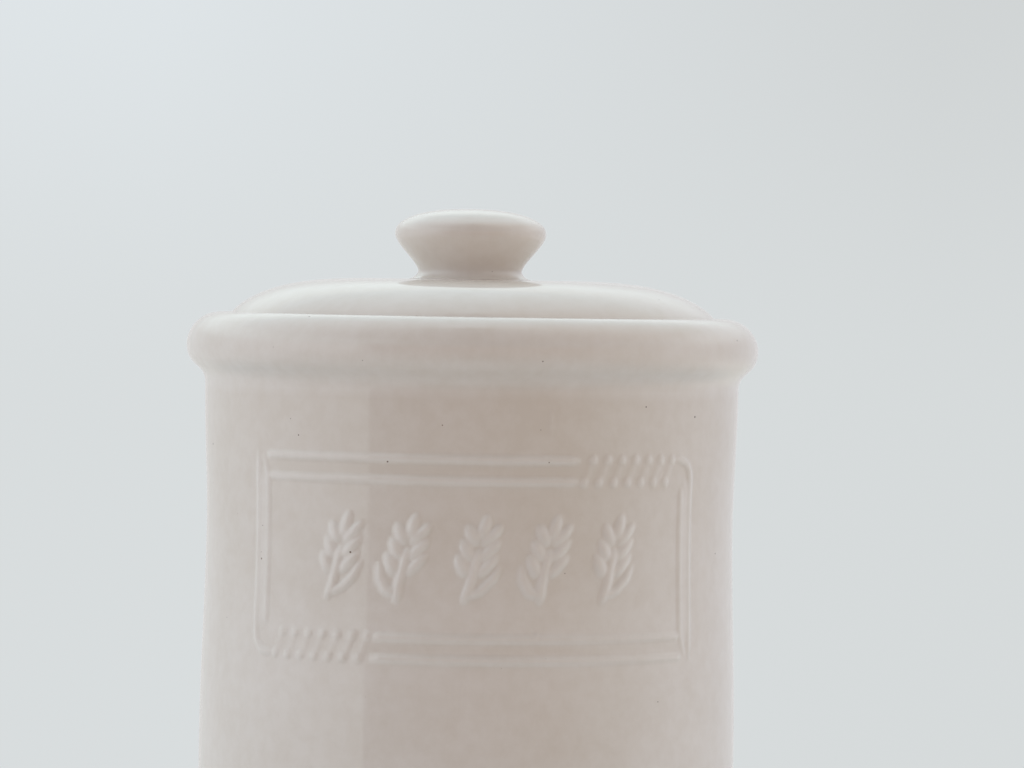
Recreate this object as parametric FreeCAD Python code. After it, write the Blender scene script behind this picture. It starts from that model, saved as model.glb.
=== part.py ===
import FreeCAD, Part
import math
import os

from FreeCAD import Vector

# Lidded ceramic canister, in millimetres.
# Frame: +Z up along the pot's axis, Z = 0 on the foot ring, the decorated front faces -Y.

# ---------------------------------------------------------------- canister body
body_height = 190.6          # foot ring to the crown of the rim
body_radius = 65.5           # outside of the wall at the belly
waist_pull = 1.1             # how far the wall pulls in at the waist
waist_drop = 50.6            # rim crown down to the waist
shoulder_pull = 0.25         # how far the wall is inside the belly size under the rim
wall = 5.5
floor_thickness = 6.5
floor_corner = 9.0           # radius inside, between floor and wall
foot_corner = 5.0            # radius outside, between foot ring and wall
foot_ring_width = 6.0
foot_recess = 2.5            # how far the underside stands above the foot ring

# ---------------------------------------------------------------- rolled rim and lid gallery
rim_overhang = 4.4           # bead beyond the belly size
rim_drop = 7.9               # crown down to the widest part of the bead
rim_cove = 9.5               # widest part down to where the bead has died into the wall
rim_crown_width = 8.4        # crown to the widest part, measured across
cove_middle_reach = 2.0      # bead beyond the belly size, halfway down the cove
cove_middle_drop = 4.9       # widest part of the bead down to that place
rim_inner_round = 1.2
gallery_wall = 5.3           # belly size in to the wall of the gallery
gallery_depth = 4.8          # crown down to the ledge that carries the lid
ledge_width = 4.7
neck_height = 15.0           # thick neck below the ledge
neck_cove = 8.0              # height over which the neck thins to the wall

# ---------------------------------------------------------------- lid
lid_gap = 0.5                # lid edge to gallery wall
lid_rise = 8.7               # rim crown up to the flat top of the lid
lid_edge_height = 3.6        # straight edge, from the ledge up
lid_edge_round = 0.9
lid_crown_radius = 21.0      # flat seat in the middle, for the knob
dome_flatness = 3.1          # power of the fall near the flat seat
dome_steepness = 0.72        # power of the fall near the edge; less is steeper
lid_thickness = 5.0
flange_gap = 0.9             # flange to neck
flange_wall = 5.2
flange_depth = 11.0          # ledge down to the end of the flange
flange_round = 1.4
seal_groove_depth = 2.4
seal_groove_height = 3.6
seal_groove_drop = 4.2       # ledge down to the top of the groove

# ---------------------------------------------------------------- lid seal
seal_side_gap = 0.2          # seal to the groove's sides
seal_bore_gap = 0.25         # seal to the groove's bottom
seal_neck_gap = 0.25         # seal to the neck
seal_lip_height = 0.8        # each of the two lips
seal_lip_reach = 0.7         # lips beyond the band

# ---------------------------------------------------------------- lid knob
knob_radius = 18.5
knob_waist_radius = 12.7
knob_foot_radius = 14.2
knob_height = 17.3           # seat to the top
knob_waist_rise = 2.3        # seat up to the waist
knob_flare_radius = 15.9     # halfway between the waist and the widest part
knob_flare_rise = 6.7
knob_wide_rise = 11.1        # seat up to the widest part
knob_shoulder_drop = 2.0     # top down to where the shoulder starts
knob_shoulder_radius = 14.6

# ---------------------------------------------------------------- relief on the front
relief_height = 0.9
relief_base = 0.3            # thin clay between a pair of beads
plaque_drop = 56.4           # rim crown down to the middle of the frame
plaque_height = 49.6
plaque_width = 121.6         # along the wall, outside to outside
bead_width = 2.6
rail_width = 7.6             # a pair of beads, outside to outside
stile_width = 6.2
rope_length = 28.0
rope_lobes = 7
rope_lobe_length = 8.6
rope_lobe_width = 3.4
rope_lean = 35.0             # degrees from upright
joint_gap = 0.2              # between neighbouring pieces of the frame
ear_count = 5
ear_height = 20.5
ear_pitch = 17.0             # along the wall, middle to middle
ear_lean = 14.0              # degrees to the right of upright
ear_stem_width = 2.2
ear_root_z = -4.2            # first pair of grains, from the ear's middle
grain_length = 8.4
grain_width = 3.0
grain_rows = 3
grain_spread = 36.0          # degrees between a grain and the stem

# ---------------------------------------------------------------- places worked out from these
crown_z = body_height
belly_z = 0.47 * body_height
rim_z = crown_z - rim_drop
rim_end_z = rim_z - rim_cove
waist_z = crown_z - waist_drop
rim_radius = body_radius + rim_overhang
crown_radius = rim_radius - rim_crown_width
inner_radius = body_radius - wall
gallery_radius = body_radius - gallery_wall
neck_radius = gallery_radius - ledge_width
ledge_z = crown_z - gallery_depth
neck_end_z = ledge_z - neck_height
floor_z = foot_recess + floor_thickness
foot_radius = body_radius - foot_corner
lid_radius = gallery_radius - lid_gap
lid_top_z = crown_z + lid_rise
lid_shelf_z = ledge_z + lid_edge_height
flange_radius = neck_radius - flange_gap
flange_inner_radius = flange_radius - flange_wall
flange_end_z = ledge_z - flange_depth
groove_top_z = ledge_z - seal_groove_drop
groove_end_z = groove_top_z - seal_groove_height
groove_radius = flange_radius - seal_groove_depth
knob_top_z = lid_top_z + knob_height
plaque_z = crown_z - plaque_drop
plaque_top_z = plaque_z + plaque_height / 2
plaque_end_z = plaque_z - plaque_height / 2

AXIS = Vector(0, 0, 1)
ORIGIN = Vector(0, 0, 0)
FRONT = -90.0                # the front's direction about the axis, in degrees
QUARTER_IN = 1 - math.sqrt(0.5)   # a quarter round's middle, inside its corner, as a share


def at(radius, height):
    return Vector(radius, 0, height)


def line(start, end):
    return Part.LineSegment(start, end).toShape()


def arc(start, middle, end):
    return Part.Arc(start, middle, end).toShape()


def curve(points, start_direction=None, end_direction=None):
    spline = Part.BSplineCurve()
    if start_direction is None:
        spline.interpolate(points)
    else:
        spline.interpolate(points, InitialTangent=start_direction, FinalTangent=end_direction)
    return spline.toShape()


def quarter(centre_radius, centre_z, reach_radius, reach_z, from_top):
    """Quarter of an ellipse between (centre, +reach_z) and (+reach_radius, centre)."""
    points = []
    steps = 6
    for step in range(steps + 1):
        turn = math.radians(90.0 * step / steps)
        across = math.sin(turn) if from_top else math.cos(turn)
        up = math.cos(turn) if from_top else math.sin(turn)
        points.append(at(centre_radius + reach_radius * across, centre_z + reach_z * up))
    return curve(points)


def turned(edges):
    """Solid of revolution about the pot's axis from a closed outline."""
    wire = Part.Wire(Part.__sortEdges__(edges))
    return Part.Face(wire).revolve(ORIGIN, AXIS, 360)


def angle_at(distance):
    """Turn about the axis for a distance along the wall, in degrees."""
    return math.degrees(distance / body_radius)


def wall_radius_points(shift):
    """The outside of the wall, from the foot corner up to the end of the rim's cove."""
    return [
        at(body_radius + shift, foot_corner),
        at(body_radius + shift, belly_z),
        at(body_radius - waist_pull + shift, waist_z),
        at(body_radius - shoulder_pull + shift, rim_end_z),
    ]


def wall_curve(shift):
    return curve(wall_radius_points(shift), Vector(0, 0, 1), Vector(0, 0, 1))


def make_canister_body():
    foot_in = foot_radius - foot_ring_width
    shoulder = at(body_radius - shoulder_pull, rim_end_z)
    cove = curve(
        [
            shoulder,
            at(body_radius + cove_middle_reach, rim_z - cove_middle_drop),
            at(rim_radius, rim_z),
        ],
        Vector(0, 0, 1),
        Vector(0, 0, 1),
    )
    outline = [
        line(at(foot_in, 0), at(foot_radius, 0)),
        arc(
            at(foot_radius, 0),
            at(body_radius - QUARTER_IN * foot_corner, QUARTER_IN * foot_corner),
            at(body_radius, foot_corner),
        ),
        wall_curve(0),
        cove,
        quarter(crown_radius, rim_z, rim_crown_width, rim_drop, False),
        line(at(crown_radius, crown_z), at(gallery_radius + rim_inner_round, crown_z)),
        arc(
            at(gallery_radius + rim_inner_round, crown_z),
            at(gallery_radius + QUARTER_IN * rim_inner_round, crown_z - QUARTER_IN * rim_inner_round),
            at(gallery_radius, crown_z - rim_inner_round),
        ),
        line(at(gallery_radius, crown_z - rim_inner_round), at(gallery_radius, ledge_z)),
        line(at(gallery_radius, ledge_z), at(neck_radius, ledge_z)),
        line(at(neck_radius, ledge_z), at(neck_radius, neck_end_z)),
        curve(
            [at(neck_radius, neck_end_z), at(inner_radius, neck_end_z - neck_cove)],
            Vector(0, 0, -1),
            Vector(0, 0, -1),
        ),
        line(at(inner_radius, neck_end_z - neck_cove), at(inner_radius, floor_z + floor_corner)),
        arc(
            at(inner_radius, floor_z + floor_corner),
            at(inner_radius - QUARTER_IN * floor_corner, floor_z + QUARTER_IN * floor_corner),
            at(inner_radius - floor_corner, floor_z),
        ),
        line(at(inner_radius - floor_corner, floor_z), at(0, floor_z)),
        line(at(0, floor_z), at(0, foot_recess)),
        line(at(0, foot_recess), at(foot_in - foot_recess, foot_recess)),
        line(at(foot_in - foot_recess, foot_recess), at(foot_in, 0)),
    ]
    return turned(outline)


def make_lid_cover():
    edge_top = at(lid_radius, lid_shelf_z)
    under_z = lid_top_z - lid_thickness
    round_in = QUARTER_IN * flange_round
    shoulder_fall = lid_top_z - lid_shelf_z
    shoulder_run = lid_radius - lid_crown_radius
    dome = []
    steps = 9
    for step in range(steps + 1):
        share = math.sin(math.radians(90.0 * step / steps))
        fall = 1 - (1 - share ** dome_flatness) ** dome_steepness
        dome.append(at(lid_crown_radius + shoulder_run * share, lid_top_z - shoulder_fall * fall))
    under_corner = at(flange_inner_radius, under_z - lid_thickness)
    outline = [
        line(at(0, lid_top_z), at(lid_crown_radius, lid_top_z)),
        curve(dome, Vector(1, 0, 0), Vector(0, 0, -1)),
        line(edge_top, at(lid_radius, ledge_z + lid_edge_round)),
        arc(
            at(lid_radius, ledge_z + lid_edge_round),
            at(lid_radius - QUARTER_IN * lid_edge_round, ledge_z + QUARTER_IN * lid_edge_round),
            at(lid_radius - lid_edge_round, ledge_z),
        ),
        line(at(lid_radius - lid_edge_round, ledge_z), at(flange_radius, ledge_z)),
        line(at(flange_radius, ledge_z), at(flange_radius, groove_top_z)),
        line(at(flange_radius, groove_top_z), at(groove_radius, groove_top_z)),
        line(at(groove_radius, groove_top_z), at(groove_radius, groove_end_z)),
        line(at(groove_radius, groove_end_z), at(flange_radius, groove_end_z)),
        line(at(flange_radius, groove_end_z), at(flange_radius, flange_end_z + flange_round)),
        arc(
            at(flange_radius, flange_end_z + flange_round),
            at(flange_radius - round_in, flange_end_z + round_in),
            at(flange_radius - flange_round, flange_end_z),
        ),
        line(at(flange_radius - flange_round, flange_end_z), at(flange_inner_radius, flange_end_z)),
        line(at(flange_inner_radius, flange_end_z), under_corner),
        curve(
            [under_corner, at(flange_inner_radius - 2 * lid_thickness, under_z)],
            Vector(0, 0, 1),
            Vector(-1, 0, 0),
        ),
        line(at(flange_inner_radius - 2 * lid_thickness, under_z), at(0, under_z)),
        line(at(0, under_z), at(0, lid_top_z)),
    ]
    return turned(outline)


def make_lid_seal():
    bore = groove_radius + seal_bore_gap
    lip = neck_radius - seal_neck_gap
    band = lip - seal_lip_reach
    top = groove_top_z - seal_side_gap
    end = groove_end_z + seal_side_gap
    points = [
        at(bore, top),
        at(lip, top),
        at(lip, top - seal_lip_height),
        at(band, top - seal_lip_height),
        at(band, end + seal_lip_height),
        at(lip, end + seal_lip_height),
        at(lip, end),
        at(bore, end),
    ]
    return turned([line(a, b) for a, b in zip(points, points[1:] + points[:1])])


def make_lid_knob():
    seat = lid_top_z
    stem = curve(
        [
            at(knob_foot_radius, seat),
            at(knob_waist_radius, seat + knob_waist_rise),
            at(knob_flare_radius, seat + knob_flare_rise),
            at(knob_radius, seat + knob_wide_rise),
        ],
        Vector(-1, 0, 0.25),
        Vector(0, 0, 1),
    )
    shoulder = curve(
        [
            at(knob_radius, seat + knob_wide_rise),
            at(knob_shoulder_radius, knob_top_z - knob_shoulder_drop),
            at(0, knob_top_z),
        ],
        Vector(0, 0, 1),
        Vector(-1, 0, 0),
    )
    outline = [
        stem,
        shoulder,
        line(at(0, knob_top_z), at(0, seat)),
        line(at(0, seat), at(knob_foot_radius, seat)),
    ]
    return turned(outline)


def relief_skin(height):
    """Ring of clay of one height on the outside of the wall."""
    inner = wall_radius_points(0)
    outer = wall_radius_points(height)
    edges = [
        wall_curve(0),
        line(inner[-1], outer[-1]),
        wall_curve(height),
        line(outer[0], inner[0]),
    ]
    return turned(edges)


def patch(skin, from_z, to_z, from_way, to_way):
    """Part of a skin between two heights and two distances along the wall from the front."""
    reach = 2 * body_radius
    start = FRONT + angle_at(from_way)
    wedge = Part.makeCylinder(reach, to_z - from_z, at(0, from_z), AXIS, angle_at(to_way - from_way))
    wedge.rotate(ORIGIN, AXIS, start)
    return skin.common(wedge)


def lens(length, width):
    """Flat grain-shaped outline in the XZ plane, pointed at both ends, centred on the origin."""
    top = at(0, length / 2)
    end = at(0, -length / 2)
    return Part.Face(Part.Wire([arc(end, at(width / 2, 0), top), arc(top, at(-width / 2, 0), end)]))


def cutter(outline, lean, way, height):
    """Turn an outline to its lean and push it through the wall's front, square to the wall."""
    leaning = outline.copy()
    leaning.rotate(ORIGIN, Vector(0, 1, 0), lean)
    leaning.translate(Vector(0, 0, height))
    prism = leaning.extrude(Vector(0, -2 * body_radius, 0))
    prism.rotate(ORIGIN, AXIS, angle_at(way))
    return prism


def join(shapes):
    return shapes[0].multiFuse(shapes[1:]).removeSplitter()


def make_rail(bead_skin, base_skin, from_way, to_way, from_z, to_z):
    """Two long beads on a thin base."""
    return join([
        patch(base_skin, from_z, to_z, from_way, to_way),
        patch(bead_skin, to_z - bead_width, to_z, from_way, to_way),
        patch(bead_skin, from_z, from_z + bead_width, from_way, to_way),
    ])


def make_stile(bead_skin, base_skin, from_way, to_way):
    return join([
        patch(base_skin, plaque_end_z, plaque_top_z, from_way, to_way),
        patch(bead_skin, plaque_end_z, plaque_top_z, from_way, from_way + bead_width),
        patch(bead_skin, plaque_end_z, plaque_top_z, to_way - bead_width, to_way),
    ])


def make_rope(bead_skin, base_skin, start_way, from_z, to_z):
    """Leaning lobes on a thin base, like a twisted rope laid on the wall."""
    pitch = rope_length / rope_lobes
    end_way = start_way + rope_length
    room = patch(bead_skin, from_z, to_z, start_way, end_way)
    pieces = [patch(base_skin, from_z, to_z, start_way, end_way)]
    outline = lens(rope_lobe_length, rope_lobe_width)
    for index in range(rope_lobes):
        way = start_way + pitch * (index + 0.5)
        pieces.append(room.common(cutter(outline, rope_lean, way, (from_z + to_z) / 2)))
    return join(pieces)


def make_wheat_ear(bead_skin, way):
    """A stem with pairs of grains and one grain at its tip."""
    room = patch(bead_skin, plaque_end_z, plaque_top_z, way - ear_height / 2, way + ear_height / 2)
    outlines = [lens(ear_height, ear_stem_width)]
    step = (ear_height - grain_length) / (grain_rows + 1)
    grain = lens(grain_length, grain_width)
    for row in range(grain_rows):
        root_z = ear_root_z + row * step
        for side in (-1, 1):
            leaf = grain.copy()
            leaf.translate(Vector(0, 0, grain_length / 2 - grain_width / 2))
            leaf.rotate(ORIGIN, Vector(0, 1, 0), side * grain_spread)
            leaf.translate(Vector(0, 0, root_z))
            outlines.append(leaf)
    tip = grain.copy()
    tip.translate(Vector(0, 0, (ear_height - grain_length) / 2))
    outlines.append(tip)
    prisms = [cutter(outline, ear_lean, way, plaque_z) for outline in outlines]
    return room.common(join(prisms))


def make_parts():
    bead_skin = relief_skin(relief_height)
    base_skin = relief_skin(relief_base)
    left = -plaque_width / 2
    right = plaque_width / 2
    rail_left = left + stile_width + joint_gap
    rail_right = right - stile_width - joint_gap
    rope_room = rope_length + joint_gap
    top_rail_z = plaque_top_z - rail_width
    end_rail_z = plaque_end_z + rail_width
    parts = {
        "canister_body": make_canister_body(),
        "lid_cover": make_lid_cover(),
        "lid_seal": make_lid_seal(),
        "lid_knob": make_lid_knob(),
        "frame_stile_left": make_stile(bead_skin, base_skin, left, left + stile_width),
        "frame_stile_right": make_stile(bead_skin, base_skin, right - stile_width, right),
        "frame_rail_top": make_rail(
            bead_skin, base_skin, rail_left, rail_right - rope_room, top_rail_z, plaque_top_z
        ),
        "frame_rail_bottom": make_rail(
            bead_skin, base_skin, rail_left + rope_room, rail_right, plaque_end_z, end_rail_z
        ),
        "rope_twist_top": make_rope(
            bead_skin, base_skin, rail_right - rope_length, top_rail_z, plaque_top_z
        ),
        "rope_twist_bottom": make_rope(bead_skin, base_skin, rail_left, plaque_end_z, end_rail_z),
    }
    for index in range(ear_count):
        way = (index - (ear_count - 1) / 2) * ear_pitch
        parts["wheat_ear_" + str(index + 1)] = make_wheat_ear(bead_skin, way)
    return parts


os.makedirs("parts", exist_ok=True)
for name, shape in make_parts().items():
    print(name, shape.ShapeType, len(shape.Solids), shape.isValid(), round(shape.Volume, 1))
    shape.exportStep("parts/" + name + ".step")
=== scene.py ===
import math

import bmesh
import bpy
import numpy as np
from mathutils import Matrix, Vector


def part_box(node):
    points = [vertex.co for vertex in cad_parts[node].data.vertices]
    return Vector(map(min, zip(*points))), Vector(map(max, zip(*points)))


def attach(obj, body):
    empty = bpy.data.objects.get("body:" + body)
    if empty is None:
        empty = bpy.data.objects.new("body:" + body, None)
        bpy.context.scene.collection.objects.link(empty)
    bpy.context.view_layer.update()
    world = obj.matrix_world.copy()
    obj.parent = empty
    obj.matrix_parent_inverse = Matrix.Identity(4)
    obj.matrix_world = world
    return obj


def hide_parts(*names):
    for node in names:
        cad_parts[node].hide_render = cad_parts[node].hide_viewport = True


# Cream-glazed ceramic canister with a rolled rim, a framed relief of wheat ears on its front,
# and a domed lid with a mushroom knob. Outlines are in millimetres, objects in metres.
# The front faces -Y.

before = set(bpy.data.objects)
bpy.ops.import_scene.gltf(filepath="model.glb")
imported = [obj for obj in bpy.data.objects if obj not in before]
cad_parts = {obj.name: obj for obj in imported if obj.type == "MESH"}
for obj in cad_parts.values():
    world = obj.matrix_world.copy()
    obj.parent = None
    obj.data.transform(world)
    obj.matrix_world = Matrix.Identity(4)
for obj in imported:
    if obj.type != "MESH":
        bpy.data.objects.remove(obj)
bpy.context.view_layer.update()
MM = 0.001


def span(node):
    """A CAD node's outside radius about the pot's axis, its lowest and its highest height."""
    low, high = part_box(node)
    radius = max(abs(low.x), abs(high.x))
    return radius / MM, low.z / MM, high.z / MM


# ---------------------------------------------------------------- sizes that come from the frame
rim_radius, _, crown_z = span("canister_body")
lid_radius, flange_end_z, lid_top_z = span("lid_cover")
knob_radius, knob_seat_z, knob_top_z = span("lid_knob")
seal_radius, seal_end_z, seal_top_z = span("lid_seal")
plaque_end_z = span("frame_rail_bottom")[1]
plaque_top_z = span("frame_rail_top")[2]
plaque_z = (plaque_end_z + plaque_top_z) / 2

# ---------------------------------------------------------------- canister sizes
rim_overhang = 4.4
belly_radius = rim_radius - rim_overhang
waist_pull = 1.1
shoulder_pull = 0.25
rim_drop = 7.9
rim_cove = 9.5
rim_crown_width = 8.4
rim_inner_round = 1.2
gallery_radius = lid_radius + 0.5
gallery_depth = 4.8
ledge_z = crown_z - gallery_depth
neck_radius = seal_radius + 0.25
neck_end_z = ledge_z - 15.0
neck_cove = 8.0
inner_radius = belly_radius - 5.5
floor_z = 9.0
floor_corner = 9.0
foot_recess = 2.5
foot_corner = 5.0
foot_ring_width = 6.0
rim_z = crown_z - rim_drop
shoulder_z = rim_z - rim_cove
waist_z = crown_z - 50.6
belly_z = 0.47 * crown_z

# ---------------------------------------------------------------- relief sizes
plaque_half_height = (plaque_top_z - plaque_end_z) / 2
bead_half = 1.3
bead_height = 0.4
outer_up = plaque_half_height - 1.5
outer_side = 59.4
rail_step = 4.95
stile_step = 3.4
corner_round = 4.6
rope_start = 25.0
rope_end = 53.0
rope_lobes = 7
ear_pitch = 17.0
ear_lean = 0.24
relief_margin = 2.6

# ---------------------------------------------------------------- painted highlight on relief crests; painted shade round the relief, with pooled glaze, and under the rim
# Painted highlight on crests; painted shade in the channel and round the ears, where glaze also pooled, and
# under the rim, weaker on the back.
crest_highlight_strength = 0.3
channel_shade_and_pool = 0.22
ear_shade_and_pool = 0.12
rim_shade = 0.5
back_shade_share = 0.6
ear_shade_half_height = 12.5
rim_shade_start = 30.0


# ---------------------------------------------------------------- outlines
def arc(centre, reach, start, end, steps):
    """Points on an ellipse about a centre, from one angle to another, in degrees."""
    points = []
    for step in range(steps + 1):
        turn = math.radians(start + (end - start) * step / steps)
        points.append((centre[0] + reach[0] * math.cos(turn), centre[1] + reach[1] * math.sin(turn)))
    return points


def bend(start, start_pull, end_pull, end, steps):
    """Points on a cubic Bezier curve."""
    points = []
    for step in range(steps + 1):
        t = step / steps
        a = (1 - t) ** 3
        b = 3 * t * (1 - t) ** 2
        c = 3 * t * t * (1 - t)
        d = t ** 3
        across = a * start[0] + b * start_pull[0] + c * end_pull[0] + d * end[0]
        up = a * start[1] + b * start_pull[1] + c * end_pull[1] + d * end[1]
        points.append((across, up))
    return points


def straight(start, end, steps):
    points = []
    for step in range(steps + 1):
        t = step / steps
        points.append((start[0] + (end[0] - start[0]) * t, start[1] + (end[1] - start[1]) * t))
    return points


def outline_of(*runs):
    """Join runs of points, leaving out the points where one run meets the next."""
    points = []
    for run in runs:
        for point in run:
            if not points or math.dist(points[-1], point) > 0.01:
                points.append(point)
    return points


def wall_outside(height):
    """Outside radius of the wall: a belly, a slight waist and a shoulder, joined smoothly."""
    heights = [foot_corner, belly_z, waist_z, shoulder_z]
    radii = [belly_radius, belly_radius, belly_radius - waist_pull, belly_radius - shoulder_pull]
    slopes = [0.0, -0.004, 0.0, 0.0]
    for i in range(3):
        if height <= heights[i + 1] or i == 2:
            rise = heights[i + 1] - heights[i]
            t = (height - heights[i]) / rise
            a = 2 * t ** 3 - 3 * t ** 2 + 1
            b = t ** 3 - 2 * t ** 2 + t
            c = 3 * t ** 2 - 2 * t ** 3
            d = t ** 3 - t ** 2
            return a * radii[i] + b * rise * slopes[i] + c * radii[i + 1] + d * rise * slopes[i + 1]


def wall_run(start_z, end_z, steps):
    points = []
    for step in range(steps + 1):
        height = start_z + (end_z - start_z) * step / steps
        points.append((wall_outside(height), height))
    return points


def canister_outline(relief_rows):
    foot_out = belly_radius - foot_corner
    foot_in = foot_out - foot_ring_width
    foot_round = 0.9
    edge_round = 0.8
    seat_round = 0.5
    relief_low = plaque_end_z - relief_margin
    relief_high = plaque_top_z + relief_margin
    shoulder = (belly_radius - shoulder_pull, shoulder_z)
    neck_out = (inner_radius, neck_end_z - neck_cove)
    return outline_of(
        straight((0, foot_recess), (foot_in - foot_recess - 1, foot_recess), 6),
        bend((foot_in - foot_recess - 1, foot_recess), (foot_in - 1.5, foot_recess),
             (foot_in - 1.2, 0), (foot_in + foot_round, 0), 6),
        straight((foot_in + foot_round, 0), (foot_out - foot_round, 0), 4),
        bend((foot_out - foot_round, 0), (foot_out + 2.2, 0),
             (belly_radius, foot_corner - 3.2), (belly_radius, foot_corner), 9),
        wall_run(foot_corner, relief_low, 14),
        wall_run(relief_low, relief_high, relief_rows),
        wall_run(relief_high, shoulder_z, 6),
        bend(shoulder, (shoulder[0], shoulder_z + 0.52 * rim_cove),
             (rim_radius, rim_z - 0.62 * rim_cove), (rim_radius, rim_z), 14),
        arc((rim_radius - rim_crown_width, rim_z), (rim_crown_width, rim_drop), 0, 90, 18),
        arc((gallery_radius + rim_inner_round, crown_z - rim_inner_round),
            (rim_inner_round, rim_inner_round), 90, 180, 6),
        straight((gallery_radius, crown_z - rim_inner_round), (gallery_radius, ledge_z + seat_round), 2),
        arc((gallery_radius - seat_round, ledge_z + seat_round), (seat_round, seat_round), 0, -90, 3),
        straight((gallery_radius - seat_round, ledge_z), (neck_radius + edge_round, ledge_z), 3),
        arc((neck_radius + edge_round, ledge_z - edge_round), (edge_round, edge_round), 90, 180, 5),
        straight((neck_radius, ledge_z - edge_round), (neck_radius, neck_end_z), 4),
        bend((neck_radius, neck_end_z), (neck_radius, neck_end_z - 0.5 * neck_cove),
             (inner_radius, neck_end_z - 0.5 * neck_cove), neck_out, 8),
        straight(neck_out, (inner_radius, floor_z + floor_corner), 9),
        arc((inner_radius - floor_corner, floor_z + floor_corner), (floor_corner, floor_corner), 0, -90, 8),
        straight((inner_radius - floor_corner, floor_z), (0, floor_z), 6),
    )


def turned_sector(shell, ring, edges, sweep, steps, doublings):
    """Spin a short sector from an outline, then double it until it fills its sweep."""
    share = math.radians(sweep) / 2 ** doublings
    known = set(shell.verts)
    bmesh.ops.spin(
        shell, geom=ring + edges, cent=(0, 0, 0), axis=(0, 0, 1), dvec=(0, 0, 0),
        angle=share, steps=steps, use_merge=False, use_duplicate=False,
    )
    block = ring + [vert for vert in shell.verts if vert not in known]
    for doubling in range(doublings):
        chosen = set(block)
        faces = [face for face in shell.faces if chosen.issuperset(face.verts)]
        copied = bmesh.ops.duplicate(shell, geom=faces)
        copies = [item for item in copied["geom"] if isinstance(item, bmesh.types.BMVert)]
        turn = Matrix.Rotation(share * 2 ** doubling, 3, "Z")
        bmesh.ops.rotate(shell, cent=(0, 0, 0), matrix=turn, verts=copies)
        block = block + copies


def spin_outline(name, points, sectors):
    """Mesh of revolution from an open outline, in sectors of (sweep, steps, doublings)."""
    shell = bmesh.new()
    start = math.radians(-90 - sectors[0][0] / 2)
    for sweep, steps, doublings in sectors:
        ring = []
        for radius, height in points:
            place = Vector((radius * math.cos(start), radius * math.sin(start), height)) * MM
            ring.append(shell.verts.new(place))
        edges = [shell.edges.new(pair) for pair in zip(ring, ring[1:])]
        if sweep == 360.0:
            bmesh.ops.spin(
                shell, geom=ring + edges, cent=(0, 0, 0), axis=(0, 0, 1), dvec=(0, 0, 0),
                angle=math.radians(sweep), steps=steps, use_merge=True, use_duplicate=False,
            )
        else:
            turned_sector(shell, ring, edges, sweep, steps, doublings)
        start += math.radians(sweep)
    bmesh.ops.remove_doubles(shell, verts=shell.verts, dist=0.00001)
    bmesh.ops.recalc_face_normals(shell, faces=shell.faces)
    mesh = bpy.data.meshes.new(name)
    shell.to_mesh(mesh)
    shell.free()
    mesh.polygons.foreach_set("use_smooth", [True] * len(mesh.polygons))
    piece = bpy.data.objects.new(name, mesh)
    bpy.context.scene.collection.objects.link(piece)
    return piece


# ---------------------------------------------------------------- relief
def stroke(way, up, points, half, height, start_taper=0.0, end_taper=0.0):
    """Soft raised line along a path, thinner towards an end that has a taper length."""
    lengths = [math.dist(a, b) for a, b in zip(points, points[1:])]
    total = sum(lengths)
    raised = np.zeros_like(way)
    done = 0.0
    for (start, end), length in zip(zip(points, points[1:]), lengths):
        across = ((end[0] - start[0]) / length, (end[1] - start[1]) / length)
        along = (way - start[0]) * across[0] + (up - start[1]) * across[1]
        along = np.clip(along, 0, length)
        gap = np.hypot(way - start[0] - along * across[0], up - start[1] - along * across[1])
        place = done + along
        size = np.ones_like(way)
        if start_taper:
            size = size * np.clip(place / start_taper, 0, 1) ** 0.6
        if end_taper:
            size = size * np.clip((total - place) / end_taper, 0, 1) ** 0.6
        reach = half * (0.55 + 0.45 * size)
        share = np.clip(1 - (gap / reach) ** 2, 0, 1)
        raised = np.maximum(raised, height * size * share ** 1.25)
        done += length
    return raised


def grain(way, up, centre, long_half, wide_half, lean, height):
    """Plump grain that leans by an angle in degrees to the right."""
    turn = math.radians(lean)
    across = (way - centre[0]) * math.cos(turn) - (up - centre[1]) * math.sin(turn)
    along = (way - centre[0]) * math.sin(turn) + (up - centre[1]) * math.cos(turn)
    width = wide_half * (1 - 0.18 * along / long_half)
    share = np.clip(1 - (across / width) ** 2 - np.abs(along / long_half) ** 2.4, 0, 1)
    return height * share ** 1.3


def blend(heights):
    """Soft union of raised shapes, as glaze fills the creases between them."""
    total = sum(np.maximum(h, 0) ** 2.5 for h in heights)
    return total ** 0.4


def wheat_ear(way, up, side):
    """One ear about its own middle: a stem, a leaf to one side, three pairs of grains and a tip."""
    way = way - ear_lean * up
    shapes = [
        stroke(way, up, [(-0.6 * side, -10.4), (0.0, -6.0), (0.1, 3.0)], 1.5, 0.55, 2.0, 2.0),
        stroke(way, up, [(-0.1, -8.4), (2.8 * side, -7.2), (5.0 * side, -4.4), (6.2 * side, -0.8)],
               1.45, 0.5, 1.5, 4.0),
        grain(way, up, (0.1, 7.6), 3.6, 1.85, 0.0, 0.65),
    ]
    for row in range(3):
        root = -3.4 + 3.5 * row
        reach = 3.1 - 0.35 * row
        for hand in (-1, 1):
            shapes.append(grain(way, up, (hand * reach, root + 2.2), 3.6, 1.8, hand * 36.0, 0.65))
    return blend(shapes)


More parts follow.
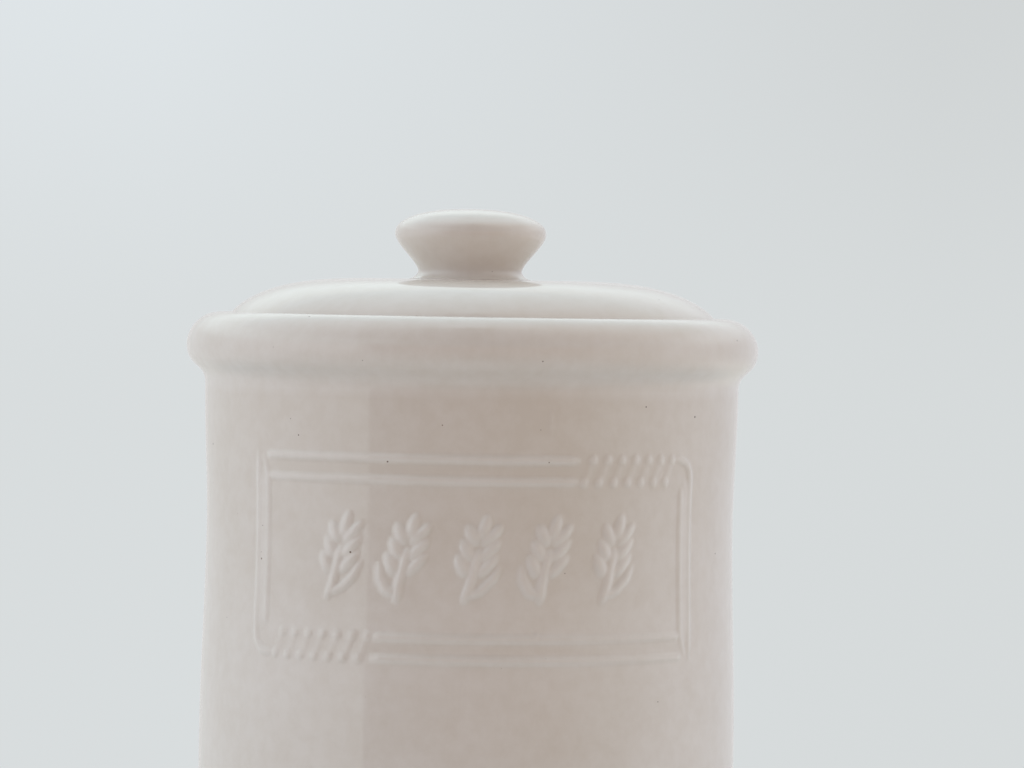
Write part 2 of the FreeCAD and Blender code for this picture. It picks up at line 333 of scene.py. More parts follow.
def frame_half(way, up):
    """Top rails, the rope at their right end, the rounded corner and the right stile."""
    low_tip = -outer_up - 1.4
    corner = arc((outer_side - corner_round, outer_up - corner_round),
                 (corner_round, corner_round), 90, 0, 8)
    inner_up = outer_up - rail_step
    inner_side = outer_side - stile_step
    rail_start = 3.0 - outer_side
    middle = outer_up - rail_step / 2
    between = outer_side - stile_step / 2
    shapes = [
        stroke(way, up, [(rail_start, outer_up), (rope_start, outer_up)],
               bead_half, bead_height, 1.6, 2.0),
        stroke(way, up, [(rail_start + 0.6, inner_up), (rope_start, inner_up)],
               bead_half, bead_height * 0.9, 1.6, 2.0),
        stroke(way, up, [(rope_end, outer_up)] + corner + [(outer_side, low_tip)],
               bead_half, bead_height * 1.1, 2.5, 7.0),
        stroke(way, up, [(inner_side, inner_up - 1.4), (inner_side, -outer_up + 5.0),
                         (inner_side + 1.0, -outer_up + 1.8), (outer_side - 1.2, low_tip + 1.6)],
               bead_half, bead_height, 2.5, 6.0),
        stroke(way, up, [(between, inner_up), (between, -outer_up + 3.0)],
               2.4, bead_height * 0.7, 3.0, 4.0),
    ]
    pitch = (rope_end - rope_start) / rope_lobes
    for lobe in range(rope_lobes):
        place = rope_start + pitch * (lobe + 0.5)
        shapes.append(grain(way, up, (place, middle), 3.6, 1.3, 22.0, 0.14))
        for end in (-1, 1):
            tip = (place + 1.15 * end, middle + 2.6 * end)
            shapes.append(grain(way, up, tip, 1.5, 1.45, 22.0, 0.36))
    return blend(shapes)


def glaze_beads(way, up):
    """Small beads and one short run where the glaze gathered."""
    shapes = [
        stroke(way, up, [(17.2, 35.5), (17.4, 28.5)], 0.9, 0.16, 2.5, 2.5),
        grain(way, up, (15.9, outer_up + 0.4), 0.9, 0.8, 0.0, 0.35),
        grain(way, up, (14.6, -outer_up + rail_step + 0.9), 0.7, 0.9, 0.0, 0.35),
    ]
    return blend(shapes)


def relief_height(way, up):
    """Height of the relief in millimetres, for a place along the wall and above its middle."""
    heights = [frame_half(way, up), frame_half(-way, -up), glaze_beads(way, up)]
    for index in range(5):
        side = 1 if index % 2 == 0 else -1
        heights.append(wheat_ear(way - (index - 2) * ear_pitch, up, side))
    return blend(heights)


def shade_and_pool_share(way, up):
    """Share of painted shade: in the channel inside the frame and round the ears, where glaze also pooled,
    and under the rim, where the rim shades the wall.
    """
    half_step = rail_step / 2
    channel = np.clip(1 - ((np.abs(up) - outer_up + half_step) / half_step) ** 2, 0, 1)
    channel = channel * np.clip((outer_side - np.abs(way)) / 4, 0, 1)
    near_ears = np.clip(1 - (up / ear_shade_half_height) ** 4, 0, 1)
    near_ears = near_ears * np.clip((2.7 * ear_pitch - np.abs(way)) / 6, 0, 1)
    climb = np.clip((up + rim_shade_start) / (shoulder_z - plaque_z + rim_shade_start - 10.0), 0, 1)
    under_rim = climb * climb * (3 - 2 * climb)
    return channel_shade_and_pool * channel + ear_shade_and_pool * near_ears + rim_shade * under_rim


def add_values(mesh, name, values):
    """Keep one value per vertex for the materials to read."""
    mesh.attributes.new(name, "FLOAT", "POINT").data.foreach_set("value", values)


def raise_relief(piece):
    """Push the front of the wall outwards by the relief's height, and keep a painted highlight on crests
    and painted shade, with pooled glaze, round the relief and under the rim.
    """
    mesh = piece.data
    places = np.zeros(len(mesh.vertices) * 3)
    mesh.vertices.foreach_get("co", places)
    places = places.reshape(-1, 3) / MM
    radius = np.hypot(places[:, 0], places[:, 1])
    way = np.arctan2(places[:, 0], -places[:, 1]) * belly_radius
    up = places[:, 2] - plaque_z
    reach = plaque_half_height + relief_margin
    on_plaque = (np.abs(way) < 70) & (up > -reach) & (up < shoulder_z - plaque_z)
    on_wall = (radius > belly_radius - 2) & on_plaque
    height = np.zeros(len(radius))
    height[on_wall] = relief_height(way[on_wall], up[on_wall])
    grow = (1 + height / np.maximum(radius, 1.0))[:, None]
    places[:, :2] = places[:, :2] * grow
    mesh.vertices.foreach_set("co", (places * MM).ravel())
    # Painted highlight: a paler colour on the relief's crests.
    crest_highlight = np.clip(height / (1.1 * bead_height), 0, 1) ** 1.5
    on_outside = (radius > belly_radius - 2) & (places[:, 2] < shoulder_z)
    shade_and_pool = np.where(on_outside, shade_and_pool_share(way, up), 0.0)
    # The painted shade is weaker on the back than on the front.
    shade_and_pool = np.where(places[:, 1] < 0, shade_and_pool, back_shade_share * shade_and_pool)
    add_values(mesh, "crest_highlight", crest_highlight_strength * crest_highlight)
    add_values(mesh, "shade_and_pool", np.clip(shade_and_pool - crest_highlight, 0, 1))
    mesh.update()


# ---------------------------------------------------------------- lid, knob and seal
def lid_outline():
    edge_height = 3.6
    edge_round = 0.9
    crown_radius = 21.0
    thickness = 5.0
    flange_radius = neck_radius - 0.9
    flange_in = flange_radius - 5.2
    flange_round = 1.4
    groove_top = seal_top_z + 0.2
    groove_end = seal_end_z - 0.2
    groove_radius = flange_radius - 2.4
    corner = 0.35
    under_z = lid_top_z - thickness
    shelf_z = ledge_z + edge_height
    dome = []
    steps = 26
    for step in range(steps + 1):
        share = math.sin(math.radians(90.0 * step / steps))
        fall = 1 - (1 - share ** 3.1) ** 0.72
        dome.append((crown_radius + (lid_radius - crown_radius) * share,
                     lid_top_z - (lid_top_z - shelf_z) * fall))
    return outline_of(
        straight((0, lid_top_z), (crown_radius, lid_top_z), 5),
        dome,
        straight((lid_radius, shelf_z), (lid_radius, ledge_z + edge_round), 2),
        arc((lid_radius - edge_round, ledge_z + edge_round), (edge_round, edge_round), 0, -90, 5),
        straight((lid_radius - edge_round, ledge_z), (flange_radius + corner, ledge_z), 3),
        arc((flange_radius + corner, ledge_z - corner), (corner, corner), 90, 180, 3),
        straight((flange_radius, ledge_z - corner), (flange_radius, groove_top + corner), 2),
        arc((flange_radius - corner, groove_top + corner), (corner, corner), 0, -90, 3),
        straight((flange_radius - corner, groove_top), (groove_radius, groove_top), 2),
        straight((groove_radius, groove_top), (groove_radius, groove_end), 2),
        straight((groove_radius, groove_end), (flange_radius - corner, groove_end), 2),
        arc((flange_radius - corner, groove_end - corner), (corner, corner), 90, 0, 3),
        straight((flange_radius, groove_end - corner), (flange_radius, flange_end_z + flange_round), 2),
        arc((flange_radius - flange_round, flange_end_z + flange_round),
            (flange_round, flange_round), 0, -90, 5),
        arc((flange_in + flange_round, flange_end_z + flange_round),
            (flange_round, flange_round), -90, -180, 5),
        straight((flange_in, flange_end_z + flange_round), (flange_in, under_z - thickness), 4),
        bend((flange_in, under_z - thickness), (flange_in, under_z - 0.4 * thickness),
             (flange_in - 4, under_z), (flange_in - 10, under_z), 8),
        straight((flange_in - 10, under_z), (0, under_z), 5),
    )


def knob_outline():
    """From the axis over the top, round the shoulder and down the waist to the foot."""
    waist = 12.7
    foot = 15.0
    wide_z = knob_seat_z + 11.1
    waist_z = knob_seat_z + 2.3
    shoulder = (14.6, knob_top_z - 2.0)
    return outline_of(
        bend((0, knob_top_z), (6, knob_top_z), (11, knob_top_z - 0.6), shoulder, 8),
        bend(shoulder, (16.9, shoulder[1] - 1.2), (knob_radius, wide_z + 2.3), (knob_radius, wide_z), 8),
        bend((knob_radius, wide_z), (knob_radius, wide_z - 2.5),
             (waist + 0.9, waist_z + 2.6), (waist, waist_z), 12),
        bend((waist, waist_z), (waist - 0.15, waist_z - 0.7),
             (waist + 0.5, knob_seat_z + 0.5), (foot, knob_seat_z), 7),
        straight((foot, knob_seat_z), (0, knob_seat_z), 3),
    )


def seal_outline():
    """Closed outline of a flat band with two lips."""
    bore = neck_radius - 0.9 - 2.4 + 0.25
    lip = seal_radius
    band = lip - 0.7
    tip = 0.3
    valley = 0.8
    return [
        (bore, seal_top_z - 0.25), (bore + 0.25, seal_top_z), (lip - tip, seal_top_z),
        (lip - 0.08, seal_top_z - 0.12), (lip, seal_top_z - 0.35), (lip - tip, seal_top_z - 0.65),
        (band, seal_top_z - valley), (band, seal_end_z + valley), (lip - tip, seal_end_z + 0.65),
        (lip, seal_end_z + 0.35), (lip - 0.08, seal_end_z + 0.12), (lip - tip, seal_end_z),
        (bore + 0.25, seal_end_z), (bore, seal_end_z + 0.25), (bore, seal_top_z - 0.25),
    ]


# ---------------------------------------------------------------- materials
def add(tree, kind, place, **values):
    """New node with settings for its properties and its inputs."""
    new = tree.nodes.new(kind)
    new.location = place
    for key, value in values.items():
        if key in new.inputs:
            new.inputs[key].default_value = value
        else:
            setattr(new, key, value)
    return new


def glaze_group():
    """Cream tone, deeper with mottle and with painted shade round the relief, where glaze also pooled, and
    under the rim; paler with a painted highlight on crests; iron specks, and a soft ripple.
    """
    group = bpy.data.node_groups.new("cream_glaze", "ShaderNodeTree")
    face = group.interface
    cream = face.new_socket("Cream", in_out="INPUT", socket_type="NodeSocketColor")
    cream.default_value = (0.8, 0.76, 0.7, 1)
    face.new_socket("Deep Cream And Shade", in_out="INPUT", socket_type="NodeSocketColor")
    face.new_socket("Highlight Cream", in_out="INPUT", socket_type="NodeSocketColor")
    face.new_socket("Speck", in_out="INPUT", socket_type="NodeSocketColor")
    face.new_socket("Shade And Pool", in_out="INPUT", socket_type="NodeSocketFloat")
    face.new_socket("Painted Highlight", in_out="INPUT", socket_type="NodeSocketFloat")
    face.new_socket("Speck Share", in_out="INPUT", socket_type="NodeSocketFloat")
    face.new_socket("Colour", in_out="OUTPUT", socket_type="NodeSocketColor")
    face.new_socket("Roughness", in_out="OUTPUT", socket_type="NodeSocketFloat")
    face.new_socket("Ripple", in_out="OUTPUT", socket_type="NodeSocketFloat")
    link = group.links.new
    given = add(group, "NodeGroupInput", (-1400, 0))
    made = add(group, "NodeGroupOutput", (900, 0))
    where = add(group, "ShaderNodeTexCoord", (-1400, 300))
    clouds = add(group, "ShaderNodeTexNoise", (-1100, 300), Scale=42.0, Detail=4.0, Roughness=0.55)
    link(where.outputs["Object"], clouds.inputs["Vector"])
    cloud_range = add(group, "ShaderNodeMapRange", (-900, 300))
    cloud_range.inputs["From Min"].default_value = 0.38
    cloud_range.inputs["From Max"].default_value = 0.66
    cloud_range.inputs["To Max"].default_value = 0.3
    link(clouds.outputs["Fac"], cloud_range.inputs["Value"])
    mottle = add(group, "ShaderNodeTexNoise", (-1100, 550), Scale=260.0, Detail=3.0, Roughness=0.6)
    link(where.outputs["Object"], mottle.inputs["Vector"])
    mottle_range = add(group, "ShaderNodeMapRange", (-900, 550))
    mottle_range.inputs["From Min"].default_value = 0.35
    mottle_range.inputs["From Max"].default_value = 0.7
    mottle_range.inputs["To Max"].default_value = 0.42
    link(mottle.outputs["Fac"], mottle_range.inputs["Value"])
    cloudy = add(group, "ShaderNodeMath", (-800, 400), operation="ADD")
    link(cloud_range.outputs["Result"], cloudy.inputs[0])
    link(mottle_range.outputs["Result"], cloudy.inputs[1])
    # Random mottle plus painted shade, with pooled glaze in the channel and round the ears.
    mottle_and_shade = add(group, "ShaderNodeMath", (-700, 250), operation="ADD", use_clamp=True)
    link(cloudy.outputs[0], mottle_and_shade.inputs[0])
    link(given.outputs["Shade And Pool"], mottle_and_shade.inputs[1])
    mottled_and_shaded = add(group, "ShaderNodeMix", (-600, 200), data_type="RGBA")
    link(mottle_and_shade.outputs[0], mottled_and_shaded.inputs["Factor"])
    link(given.outputs["Cream"], mottled_and_shaded.inputs["A"])
    link(given.outputs["Deep Cream And Shade"], mottled_and_shaded.inputs["B"])
    # Painted highlight: paler cream on the relief's crests.
    tone = add(group, "ShaderNodeMix", (-400, 200), data_type="RGBA")
    link(given.outputs["Painted Highlight"], tone.inputs["Factor"])
    link(mottled_and_shaded.outputs["Result"], tone.inputs["A"])
    link(given.outputs["Highlight Cream"], tone.inputs["B"])
    cells = add(group, "ShaderNodeTexVoronoi", (-1100, -100), Scale=480.0)
    link(where.outputs["Object"], cells.inputs["Vector"])
    chance = add(group, "ShaderNodeSeparateColor", (-900, -200))
    link(cells.outputs["Color"], chance.inputs["Color"])
    limit = add(group, "ShaderNodeMath", (-900, -400), operation="SUBTRACT")
    limit.inputs[0].default_value = 1.0
    link(given.outputs["Speck Share"], limit.inputs[1])
    size = add(group, "ShaderNodeMapRange", (-700, -250))
    size.inputs["From Max"].default_value = 1.0
    size.inputs["To Min"].default_value = 0.0
    size.inputs["To Max"].default_value = 0.16
    link(limit.outputs[0], size.inputs["From Min"])
    link(chance.outputs["Red"], size.inputs["Value"])
    inside = add(group, "ShaderNodeMath", (-500, -150), operation="SUBTRACT")
    link(size.outputs["Result"], inside.inputs[0])
    link(cells.outputs["Distance"], inside.inputs[1])
    mask = add(group, "ShaderNodeMapRange", (-300, -150))
    mask.inputs["From Min"].default_value = 0.0
    mask.inputs["From Max"].default_value = 0.05
    link(inside.outputs[0], mask.inputs["Value"])
    colour = add(group, "ShaderNodeMix", (0, 100), data_type="RGBA")
    link(mask.outputs["Result"], colour.inputs["Factor"])
    link(tone.outputs["Result"], colour.inputs["A"])
    link(given.outputs["Speck"], colour.inputs["B"])
    link(colour.outputs["Result"], made.inputs["Colour"])
    rough = add(group, "ShaderNodeMapRange", (0, -100))
    rough.inputs["To Min"].default_value = 0.34
    rough.inputs["To Max"].default_value = 0.5
    link(clouds.outputs["Fac"], rough.inputs["Value"])
    link(rough.outputs["Result"], made.inputs["Roughness"])
    swell = add(group, "ShaderNodeTexNoise", (-1100, -600), Scale=75.0, Detail=2.0, Roughness=0.4)
    link(where.outputs["Object"], swell.inputs["Vector"])
    peel = add(group, "ShaderNodeTexNoise", (-1100, -800), Scale=420.0, Detail=1.0)
    link(where.outputs["Object"], peel.inputs["Vector"])
    fine = add(group, "ShaderNodeMath", (-800, -800), operation="MULTIPLY")
    fine.inputs[1].default_value = 0.12
    link(peel.outputs["Fac"], fine.inputs[0])
    ripple = add(group, "ShaderNodeMath", (-600, -700), operation="ADD")
    link(swell.outputs["Fac"], ripple.inputs[0])
    link(fine.outputs[0], ripple.inputs[1])
    pit = add(group, "ShaderNodeMath", (-300, -500), operation="MULTIPLY")
    pit.inputs[1].default_value = -0.35
    link(mask.outputs["Result"], pit.inputs[0])
    skin = add(group, "ShaderNodeMath", (0, -600), operation="ADD")
    link(ripple.outputs[0], skin.inputs[0])
    link(pit.outputs[0], skin.inputs[1])
    link(skin.outputs[0], made.inputs["Ripple"])
    return group


def glaze_material(name, group, cream, deep_cream_and_shade, speck_share, ripple_depth, relief=False):
    """Glossy glaze over pale clay: a clear coat on a cream body colour."""
    material = bpy.data.materials.new(name)
    material.use_nodes = True
    tree = material.node_tree
    link = tree.links.new
    shader = tree.nodes["Principled BSDF"]
    shader.inputs["IOR"].default_value = 1.5
    shader.inputs["Specular IOR Level"].default_value = 0.3
    shader.inputs["Coat Weight"].default_value = 1.0
    shader.inputs["Coat Roughness"].default_value = 0.06
    shader.inputs["Coat IOR"].default_value = 1.6
    glaze = add(tree, "ShaderNodeGroup", (-500, 0), node_tree=group)
    glaze.inputs["Cream"].default_value = (*cream, 1)
    glaze.inputs["Deep Cream And Shade"].default_value = (*deep_cream_and_shade, 1)
    glaze.inputs["Highlight Cream"].default_value = (0.88, 0.85, 0.81, 1)
    glaze.inputs["Speck"].default_value = (0.16, 0.1, 0.07, 1)
    glaze.inputs["Speck Share"].default_value = speck_share
    link(glaze.outputs["Colour"], shader.inputs["Base Color"])
    link(glaze.outputs["Roughness"], shader.inputs["Roughness"])
    bump = add(tree, "ShaderNodeBump", (-250, -300), Strength=1.0, Distance=ripple_depth * MM)
    link(glaze.outputs["Ripple"], bump.inputs["Height"])
    link(bump.outputs["Normal"], shader.inputs["Normal"])
    link(bump.outputs["Normal"], shader.inputs["Coat Normal"])
    # The relief's attributes paint a highlight on crests and shade, with pooled glaze, round the relief and
    # under the rim.
    if relief:
        crest_highlight = add(tree, "ShaderNodeAttribute", (-800, -100), attribute_name="crest_highlight")
        link(crest_highlight.outputs["Fac"], glaze.inputs["Painted Highlight"])
        shade_and_pool = add(tree, "ShaderNodeAttribute", (-800, -300), attribute_name="shade_and_pool")
        link(shade_and_pool.outputs["Fac"], glaze.inputs["Shade And Pool"])
    return material


def bisque_material():
    """Bare fired clay on the foot ring and the lid's seat."""
    material = bpy.data.materials.new("bare_clay")
    material.use_nodes = True
    tree = material.node_tree
    link = tree.links.new
    shader = tree.nodes["Principled BSDF"]
    shader.inputs["Specular IOR Level"].default_value = 0.25
    where = add(tree, "ShaderNodeTexCoord", (-1000, 0))
    grit = add(tree, "ShaderNodeTexNoise", (-800, 0), Scale=900.0, Detail=5.0)
    link(where.outputs["Object"], grit.inputs["Vector"])
    stain = add(tree, "ShaderNodeTexNoise", (-800, -250), Scale=60.0, Detail=3.0)
    link(where.outputs["Object"], stain.inputs["Vector"])
    mixed = add(tree, "ShaderNodeMath", (-600, -100), operation="MULTIPLY")
    link(grit.outputs["Fac"], mixed.inputs[0])
    link(stain.outputs["Fac"], mixed.inputs[1])
    ramp = add(tree, "ShaderNodeValToRGB", (-400, 0))
    ramp.color_ramp.elements[0].position = 0.1
    ramp.color_ramp.elements[0].color = (0.42, 0.31, 0.22, 1)
    ramp.color_ramp.elements[1].position = 0.42
    ramp.color_ramp.elements[1].color = (0.66, 0.56, 0.45, 1)
    link(mixed.outputs[0], ramp.inputs["Fac"])
    link(ramp.outputs["Color"], shader.inputs["Base Color"])
    rough = add(tree, "ShaderNodeMapRange", (-400, -250))
    rough.inputs["To Min"].default_value = 0.7
    rough.inputs["To Max"].default_value = 0.95
    link(grit.outputs["Fac"], rough.inputs["Value"])
    link(rough.outputs["Result"], shader.inputs["Roughness"])
    bump = add(tree, "ShaderNodeBump", (-250, -450), Strength=0.8, Distance=0.12 * MM)
    link(grit.outputs["Fac"], bump.inputs["Height"])
    link(bump.outputs["Normal"], shader.inputs["Normal"])
    return material


def silicone_material():
    """Milky moulded silicone."""
    material = bpy.data.materials.new("milky_silicone")
    material.use_nodes = True
    tree = material.node_tree
    link = tree.links.new
    shader = tree.nodes["Principled BSDF"]
    shader.inputs["IOR"].default_value = 1.42
    shader.inputs["Subsurface Weight"].default_value = 0.25
    shader.inputs["Subsurface Radius"].default_value = (0.002, 0.002, 0.002)
    where = add(tree, "ShaderNodeTexCoord", (-1000, 0))
    cloud = add(tree, "ShaderNodeTexNoise", (-800, 0), Scale=150.0, Detail=3.0)
    link(where.outputs["Object"], cloud.inputs["Vector"])
    ramp = add(tree, "ShaderNodeValToRGB", (-500, 0))
    ramp.color_ramp.elements[0].position = 0.3
    ramp.color_ramp.elements[0].color = (0.62, 0.63, 0.6, 1)
    ramp.color_ramp.elements[1].position = 0.7
    ramp.color_ramp.elements[1].color = (0.72, 0.73, 0.71, 1)
    link(cloud.outputs["Fac"], ramp.inputs["Fac"])
    link(ramp.outputs["Color"], shader.inputs["Base Color"])
    rough = add(tree, "ShaderNodeMapRange", (-500, -250))
    rough.inputs["To Min"].default_value = 0.35
    rough.inputs["To Max"].default_value = 0.55
    link(cloud.outputs["Fac"], rough.inputs["Value"])
    link(rough.outputs["Result"], shader.inputs["Roughness"])
    dust = add(tree, "ShaderNodeTexNoise", (-800, -500), Scale=1500.0, Detail=2.0)
    link(where.outputs["Object"], dust.inputs["Vector"])
    bump = add(tree, "ShaderNodeBump", (-250, -450), Strength=0.5, Distance=0.02 * MM)
    link(dust.outputs["Fac"], bump.inputs["Height"])
    link(bump.outputs["Normal"], shader.inputs["Normal"])
    return material


def bare_rings(piece, clay, rings):
    """Give the clay to faces that lie inside the given rings: (inner, outer, lowest, highest)."""
    piece.data.materials.append(clay)
    for face in piece.data.polygons:
        radius = math.hypot(face.center.x, face.center.y) / MM
        height = face.center.z / MM
        for inner, outer, low, high in rings:
            if inner < radius < outer and low < height < high:
                face.material_index = 1


# ---------------------------------------------------------------- camera, light and floor
def add_camera():
    distance = 1.17
    height = 0.1974
    azimuth = math.radians(-1.45)
    pan = math.radians(0.48)
    tilt = math.radians(-1.15)
    roll = math.radians(0.92)
    lens = bpy.data.cameras.new("camera")
    lens.lens = 167.9
    lens.sensor_width = 36.0
    lens.clip_end = 50.0
    camera = bpy.data.objects.new("camera", lens)
    bpy.context.scene.collection.objects.link(camera)
    place = Vector((distance * math.sin(azimuth), -distance * math.cos(azimuth), height))
    upright = Matrix.Rotation(math.radians(90), 4, "X")
    turn = Matrix.Rotation(azimuth - pan, 4, "Z")
    look = Matrix.Rotation(tilt, 4, "X")
    lean = Matrix.Rotation(roll, 4, "Z")
    camera.matrix_world = Matrix.Translation(place) @ turn @ upright @ look @ lean
    bpy.context.scene.camera = camera


def ring_of_light(tree, azimuth, stops, place):
    """Colour round the horizon: stops are (azimuth in degrees from the front, colour)."""
    ramp = add(tree, "ShaderNodeValToRGB", place)
    elements = ramp.color_ramp.elements
    elements[0].position = 0.0
    elements[1].position = 1.0
    elements[0].color = (*stops[0][1], 1)
    elements[1].color = (*stops[-1][1], 1)
    for degrees, colour in stops[1:-1]:
        stop = elements.new((degrees + 180) / 360)
        stop.color = (*colour, 1)
    tree.links.new(azimuth, ramp.inputs["Fac"])
    return ramp


def add_world():
    """Soft daylight studio: bright backdrop behind and beside, dimmer warm room in front."""
    world = bpy.data.worlds.new("studio")
    bpy.context.scene.world = world
    world.use_nodes = True
    tree = world.node_tree
    link = tree.links.new
    where = add(tree, "ShaderNodeTexCoord", (-1800, 0))
    axes = add(tree, "ShaderNodeSeparateXYZ", (-1600, 0))
    link(where.outputs["Generated"], axes.inputs[0])
    back = add(tree, "ShaderNodeMath", (-1400, 0), operation="MULTIPLY")
    back.inputs[1].default_value = -1.0
    link(axes.outputs["Y"], back.inputs[0])
    turn = add(tree, "ShaderNodeMath", (-1200, 0), operation="ARCTAN2")
    link(axes.outputs["X"], turn.inputs[0])
    link(back.outputs[0], turn.inputs[1])
    azimuth = add(tree, "ShaderNodeMapRange", (-1000, 0))
    azimuth.inputs["From Min"].default_value = -math.pi
    azimuth.inputs["From Max"].default_value = math.pi
    link(turn.outputs[0], azimuth.inputs["Value"])
    around = azimuth.outputs["Result"]
    low = ring_of_light(tree, around, LOW_LIGHT, (-700, 300))
    middle = ring_of_light(tree, around, MIDDLE_LIGHT, (-700, 0))
    upper = ring_of_light(tree, around, UPPER_LIGHT, (-700, -300))
    high = ring_of_light(tree, around, HIGH_LIGHT, (-700, -600))
    sink = add(tree, "ShaderNodeMapRange", (-700, 600), interpolation_type="SMOOTHSTEP")
    sink.inputs["From Min"].default_value = -0.35
    sink.inputs["From Max"].default_value = -0.02
    link(axes.outputs["Z"], sink.inputs["Value"])
    rise = add(tree, "ShaderNodeMapRange", (-700, -900), interpolation_type="SMOOTHSTEP")
    rise.inputs["From Min"].default_value = 0.15
    rise.inputs["From Max"].default_value = 0.42
    link(axes.outputs["Z"], rise.inputs["Value"])
    top = add(tree, "ShaderNodeMapRange", (-700, -1200), interpolation_type="SMOOTHSTEP")
    top.inputs["From Min"].default_value = 0.54
    top.inputs["From Max"].default_value = 0.6
    link(axes.outputs["Z"], top.inputs["Value"])
    lower = add(tree, "ShaderNodeMix", (-350, 200), data_type="RGBA")
    link(sink.outputs["Result"], lower.inputs["Factor"])
    link(low.outputs["Color"], lower.inputs["A"])
    link(middle.outputs["Color"], lower.inputs["B"])
    raised = add(tree, "ShaderNodeMix", (-250, 0), data_type="RGBA")
    link(rise.outputs["Result"], raised.inputs["Factor"])
    link(lower.outputs["Result"], raised.inputs["A"])
    link(upper.outputs["Color"], raised.inputs["B"])
    dome = add(tree, "ShaderNodeMix", (-100, -100), data_type="RGBA")
    link(top.outputs["Result"], dome.inputs["Factor"])
    link(raised.outputs["Result"], dome.inputs["A"])
    link(high.outputs["Color"], dome.inputs["B"])
    lit = add(tree, "ShaderNodeBackground", (100, 0), Strength=1.0)
    link(dome.outputs["Result"], lit.inputs["Color"])
    shade = add(tree, "ShaderNodeMapRange", (-350, 500))
    shade.inputs["From Min"].default_value = -0.04
    shade.inputs["From Max"].default_value = 0.12
    link(axes.outputs["X"], shade.inputs["Value"])
    climb = add(tree, "ShaderNodeMapRange", (-350, 800), interpolation_type="SMOOTHSTEP")
    climb.inputs["From Min"].default_value = -0.03
    climb.inputs["From Max"].default_value = 0.08
    link(axes.outputs["Z"], climb.inputs["Value"])
    sides = []
    for low_tone, high_tone in (
        ((0.690, 0.722, 0.730, 1), (0.740, 0.785, 0.810, 1)),
        ((0.675, 0.705, 0.710, 1), (0.635, 0.660, 0.665, 1)),
    ):
        side = add(tree, "ShaderNodeMix", (-150, 800), data_type="RGBA")
        side.inputs["A"].default_value = low_tone
        side.inputs["B"].default_value = high_tone
        link(climb.outputs["Result"], side.inputs["Factor"])
        sides.append(side)
    wall_tone = add(tree, "ShaderNodeMix", (0, 600), data_type="RGBA")
    link(sides[0].outputs["Result"], wall_tone.inputs["A"])
    link(sides[1].outputs["Result"], wall_tone.inputs["B"])
    link(shade.outputs["Result"], wall_tone.inputs["Factor"])
    wall = add(tree, "ShaderNodeBackground", (100, 300), Strength=1.0)
    link(wall_tone.outputs["Result"], wall.inputs["Color"])
    rays = add(tree, "ShaderNodeLightPath", (100, 600))
    seen = add(tree, "ShaderNodeMixShader", (350, 100))
    link(rays.outputs["Is Camera Ray"], seen.inputs[0])
    link(lit.outputs[0], seen.inputs[1])
    link(wall.outputs[0], seen.inputs[2])
    out = tree.nodes["World Output"]
    link(seen.outputs[0], out.inputs["Surface"])
    tree.nodes.remove(tree.nodes["Background"])


def add_floor():
    """Pale round of floor that fades into the backdrop."""
    disc = bmesh.new()
    bmesh.ops.create_circle(disc, cap_ends=True, segments=96, radius=0.62)
    mesh = bpy.data.meshes.new("floor")
    disc.to_mesh(mesh)
    disc.free()
    floor = bpy.data.objects.new("floor", mesh)
    bpy.context.scene.collection.objects.link(floor)
    material = bpy.data.materials.new("pale_floor")
    material.use_nodes = True
    tree = material.node_tree
    link = tree.links.new
    shader = tree.nodes["Principled BSDF"]
    shader.inputs["Base Color"].default_value = (0.78, 0.8, 0.805, 1)
    shader.inputs["Roughness"].default_value = 0.9
    shader.inputs["Specular IOR Level"].default_value = 0.1
    where = add(tree, "ShaderNodeTexCoord", (-800, 0))
    far = add(tree, "ShaderNodeVectorMath", (-600, 0), operation="LENGTH")
    link(where.outputs["Object"], far.inputs[0])
    fade = add(tree, "ShaderNodeMapRange", (-400, 0), interpolation_type="SMOOTHERSTEP")
    fade.inputs["From Min"].default_value = 0.12
    fade.inputs["From Max"].default_value = 0.58
    link(far.outputs["Value"], fade.inputs["Value"])
    clear = add(tree, "ShaderNodeBsdfTransparent", (0, -300))
    mix = add(tree, "ShaderNodeMixShader", (250, 0))
    link(fade.outputs["Result"], mix.inputs[0])
    link(shader.outputs[0], mix.inputs[1])
    link(clear.outputs[0], mix.inputs[2])
    link(mix.outputs[0], tree.nodes["Material Output"].inputs["Surface"])
    mesh.materials.append(material)


# Colours round the horizon, from the back over the left, the front and the right to the back again.
LOW_LIGHT = [
    (-180, (0.65, 0.65, 0.6)), (-90, (0.9, 0.9, 0.95)), (0, (0.35, 0.3, 0.25)),
    (60, (0.65, 0.6, 0.55)), (120, (1.0, 1.0, 1.0)), (180, (0.65, 0.65, 0.6)),
]
MIDDLE_LIGHT = [
    (-180, (0.75, 0.75, 0.75)), (-130, (0.7, 0.7, 0.7)), (-75, (1.05, 1.05, 1.1)),
    (-46, (1.05, 1.05, 1.05)), (-45.5, (0.4, 0.3, 0.3)), (0, (0.55, 0.4, 0.35)),
    (35, (0.55, 0.4, 0.3)), (60, (0.8, 0.75, 0.7)), (90, (1.0, 1.0, 1.05)),
    (130, (0.7, 0.7, 0.75)), (180, (0.75, 0.75, 0.75)),
]
UPPER_LIGHT = [
    (-180, (1.1, 1.2, 1.2)), (-60, (1.0, 1.1, 1.15)), (0, (0.2, 0.2, 0.2)),
    (60, (0.7, 0.7, 0.7)), (110, (1.15, 1.2, 1.25)), (150, (0.95, 1.0, 1.05)),
    (180, (1.1, 1.2, 1.2)),
]
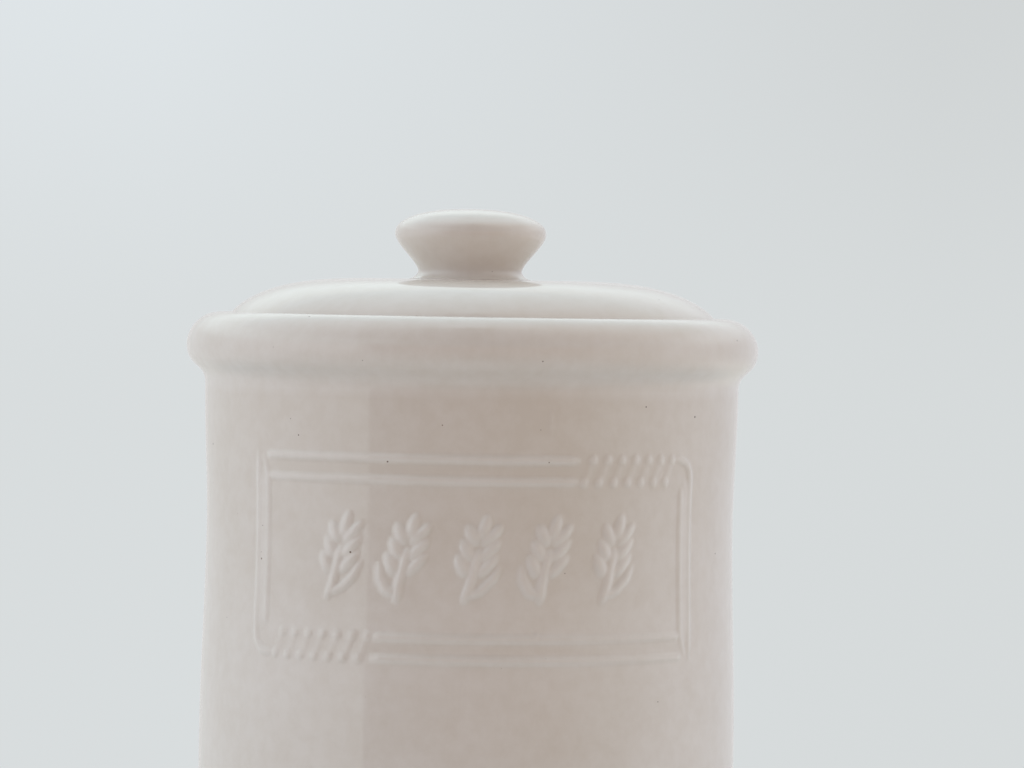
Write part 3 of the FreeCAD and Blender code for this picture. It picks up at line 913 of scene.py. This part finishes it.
HIGH_LIGHT = [
    (-180, (0.95, 1.1, 1.15)), (-90, (0.95, 1.0, 1.05)), (0, (0.2, 0.15, 0.15)),
    (90, (0.85, 0.8, 0.75)), (180, (0.95, 1.1, 1.15)),
]

relief_nodes = [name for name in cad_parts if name.startswith(("frame_", "rope_", "wheat_"))]
front_sweep = 113.0
relief_rows = 121
lid_steps = 180
knob_steps = 120
knob_off_axis = 0.9

canister_skin = spin_outline(
    "canister_skin", canister_outline(relief_rows),
    [(front_sweep, 9, 5), (360.0 - front_sweep, 5, 4)],
)
raise_relief(canister_skin)
lid_dome = spin_outline("lid_dome", lid_outline(), [(360.0, lid_steps, 0)])
knob_form = spin_outline("knob_form", knob_outline(), [(360.0, knob_steps, 0)])
for vertex in knob_form.data.vertices:
    vertex.co.x -= knob_off_axis * MM
seal_ring = spin_outline("seal_ring", seal_outline(), [(360.0, lid_steps, 0)])

glaze = glaze_group()
clay = bisque_material()
cream = (0.81, 0.765, 0.715)
# Deeper cream for thick glaze in the mottle, and for the painted shade on the wall.
deep_cream_and_shade = (0.73, 0.67, 0.6)
canister_skin.data.materials.append(
    glaze_material("canister_glaze", glaze, cream, deep_cream_and_shade, 0.045, 0.05, relief=True)
)
lid_dome.data.materials.append(glaze_material("lid_glaze", glaze, cream, deep_cream_and_shade, 0.04, 0.04))
knob_form.data.materials.append(glaze_material("knob_glaze", glaze, cream, deep_cream_and_shade, 0.03, 0.03))
seal_ring.data.materials.append(silicone_material())
foot_out = belly_radius - foot_corner
bare_rings(canister_skin, clay, [
    (foot_out - foot_ring_width - 1.0, foot_out + 0.6, -1.0, 0.35),
    (neck_radius + 0.3, gallery_radius - 0.2, ledge_z - 0.5, ledge_z + 0.3),
])
bare_rings(lid_dome, clay, [(neck_radius - 1.2, lid_radius - 0.1, ledge_z - 0.5, ledge_z + 0.45)])

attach(canister_skin, "canister")
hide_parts("canister_body", *relief_nodes)
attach(lid_dome, "lid")
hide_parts("lid_cover")
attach(knob_form, "lid")
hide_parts("lid_knob")
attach(seal_ring, "seal")
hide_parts("lid_seal")

add_camera()
add_world()
add_floor()
bpy.context.scene.view_settings.view_transform = "Standard"
